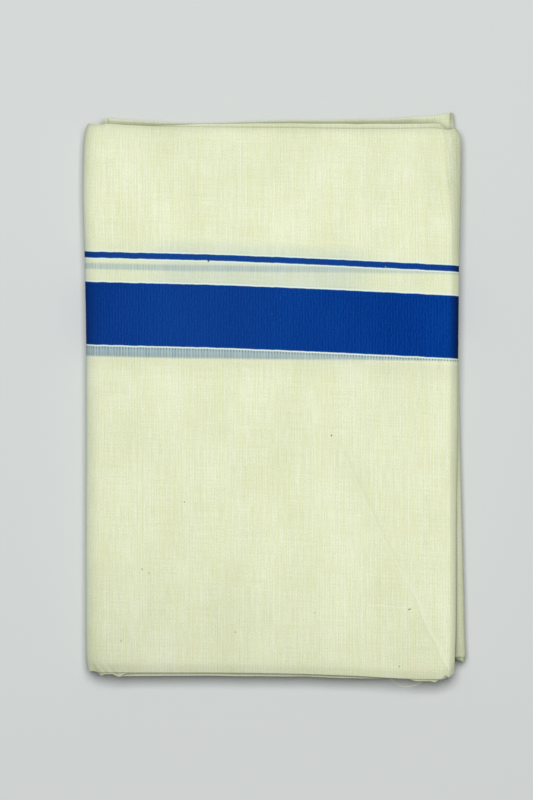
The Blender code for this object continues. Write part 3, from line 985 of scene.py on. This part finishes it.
def makePlyEdges(cloth):
    tree = sweepTree("plyFold", ("Run in", "Thickness", "Waver", "Waver length", "Seed"), plyShape)
    joined = bmesh.new()
    chance = random.Random(plyEdges["seed"])
    for side in ("far", "near"):
        outward = 1 if side == "far" else -1
        for depth, kind, upperOut, lowerOut in plyEdges[side]:
            points = []
            for x, z, stretch in stackRoute(depth, side):
                standOut = lowerOut if stretch == "turned" else upperOut
                corner = max((x - plyEdges["flushRight"]) / 3, (plyEdges["flushLeft"] - x) / 4)
                if side == "near" and stretch in ("top", "turned", "spine"):
                    standOut *= 1 - plyEdges["flush"] * ease(corner)
                edge = endPlace(*plyEnds[side], x, z, stretch) + outward * standOut
                points.append((x * mm, (edge - outward * plyEdges["runIn"] / 2) * mm, z * mm))
            joined.from_mesh(growFrom(points, tree, {
                "Run in": plyEdges["runIn"] * mm,
                "Thickness": plyEdges[kind] * mm,
                "Waver": plyEdges["waver"] * mm,
                "Waver length": plyEdges["waverLength"] * mm,
                "Seed": chance.uniform(0, 9),
                "Cloth": cloth,
            }))
    for vertex in joined.verts:
        x, y, z = (c / mm for c in vertex.co)
        vertex.co.z = max(plyEdges["lowest"], settle(x, y, z)) * mm
    return addGrown("innerPlies", joined, cloth)


# a stray yarn hangs in a loop from the near hem
strayYarns = {
    "radius": 0.09,
    "loop": [(49, -122.5, 12.6), (50.6, -124.2, 12.5), (52.2, -125.9, 12.2), (54.5, -128, 11.5),
             (57.6, -129.4, 10.9), (60.7, -129.4, 10.8), (64.3, -128.3, 11.4),
             (66.9, -126.7, 12.2), (68.6, -125, 12.6), (69.6, -123.4, 12.7)],
    "steps": 8,  # points between two of these
}


def yarnShape(enter, curve):
    profile = field(curve.tree, "GeometryNodeCurvePrimitiveCircle", Resolution=8,
                    Radius=enter["Radius"])
    return curve, profile


def smoothed(points, steps):
    # points of a smooth line through the given ones
    line = []
    for k in range(len(points) - 1):
        a, b, c, d = (Vector(points[min(max(n, 0), len(points) - 1)])
                      for n in (k - 1, k, k + 1, k + 2))
        for n in range(steps):
            t = n / steps
            line.append(0.5 * (2 * b + t * (c - a) + t * t * (2 * a - 5 * b + 4 * c - d)
                               + t ** 3 * (3 * b - a - 3 * c + d)))
    return line + [Vector(points[-1])]


def spunYarn():
    # plain yarn with its twist as fine slanting bands
    material, tree = newMaterial("spun cotton yarn")
    position = coordinates(tree)
    twist = field(tree, "ShaderNodeTexWave", {"bands_direction": "DIAGONAL"}, "Fac",
                  Vector=position, Scale=1400.0, Distortion=1.5, Detail=1.0)
    fluff = field(tree, "ShaderNodeTexNoise", output="Fac", Vector=position, Scale=2500.0,
                  Detail=2.0)
    tone = mixed([(0.5, twist), (0.8, fluff)])
    base = blendColour(tone, "warm", "pale")
    bump = field(tree, "ShaderNodeBump", Height=tone, Strength=0.4, Distance=0.00003)
    return finishCotton(material, base, bump)


def makeStrayYarns(yarn):
    wire = [tuple(p * mm) for p in smoothed(strayYarns["loop"], strayYarns["steps"])]
    tree = sweepTree("yarnSweep", ("Radius",), yarnShape)
    grown = bmesh.new()
    grown.from_mesh(growFrom(wire, tree, {
        "Radius": strayYarns["radius"] * mm, "Cloth": yarn}))
    return addGrown("strayYarns", grown, yarn)


outer, clothPlace = makeOuterCloth()
cottonStriped = wovenCotton("woven cotton with blue border", clothPlace)
cottonPlain = wovenCotton("woven cotton, ply edges")
print("materials made")
outer.data.materials.append(cottonStriped)
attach(outer, "root")
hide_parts("front_wrap", "back_wrap")
print("outer cloth made:", len(outer.data.polygons), "faces")

plies = makePlyEdges(cottonPlain)
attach(plies, "root")
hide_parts("folded_layers")
print("inner plies made:", len(plies.data.polygons), "faces")

strays = makeStrayYarns(spunYarn())
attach(strays, "root")
print("stray yarns made:", len(strays.data.polygons), "faces")

# a plain pale table under one soft light, with the camera above; sizes in metres
studio = {
    "table": (0.65, 0.677, 0.672),
    "tableReach": 3.0,
    "tableTop": -0.0002,
    "world": 0.15,
    "light": (-0.05, 0.42, 2.05),
    "lightSize": 1.1,
    "lightPower": 40.5,
    "camera": (-0.0033, -0.0014, 3.0),
    "seen": 0.357,  # of the packet's top along the view's long side
}


def makeStudio():
    mesh = bpy.data.meshes.new("tableTop")
    reach = studio["tableReach"]
    corners = ((-reach, -reach), (reach, -reach), (reach, reach), (-reach, reach))
    mesh.from_pydata([(x, y, studio["tableTop"]) for x, y in corners], [], [(0, 1, 2, 3)])
    paint, tree = newMaterial("pale table")
    fill(tree.nodes["Principled BSDF"], Base_Color=(*studio["table"], 1.0), Roughness=0.9)
    mesh.materials.append(paint)
    addObject("tableTop", mesh)
    world = bpy.data.worlds.new("softRoom")
    bpy.context.scene.world = world
    world.use_nodes = True
    fill(world.node_tree.nodes["Background"], Color=(1.0, 1.0, 1.0, 1.0),
         Strength=studio["world"])
    light = bpy.data.lights.new("overheadLight", "AREA")
    light.size = studio["lightSize"]
    light.energy = studio["lightPower"]
    lamp = addObject("overheadLight", light)
    lamp.location = studio["light"]
    lamp.rotation_euler = (-Vector(studio["light"])).to_track_quat("-Z", "Y").to_euler()
    camera = bpy.data.cameras.new("camera")
    viewer = addObject("camera", camera)
    viewer.location = studio["camera"]
    camera.sensor_width = 36.0
    distance = studio["camera"][2] - packet["height"] * mm
    camera.lens = camera.sensor_width * distance / studio["seen"]
    bpy.context.scene.camera = viewer
    bpy.context.scene.view_settings.view_transform = "Standard"


makeStudio()
print("studio made")
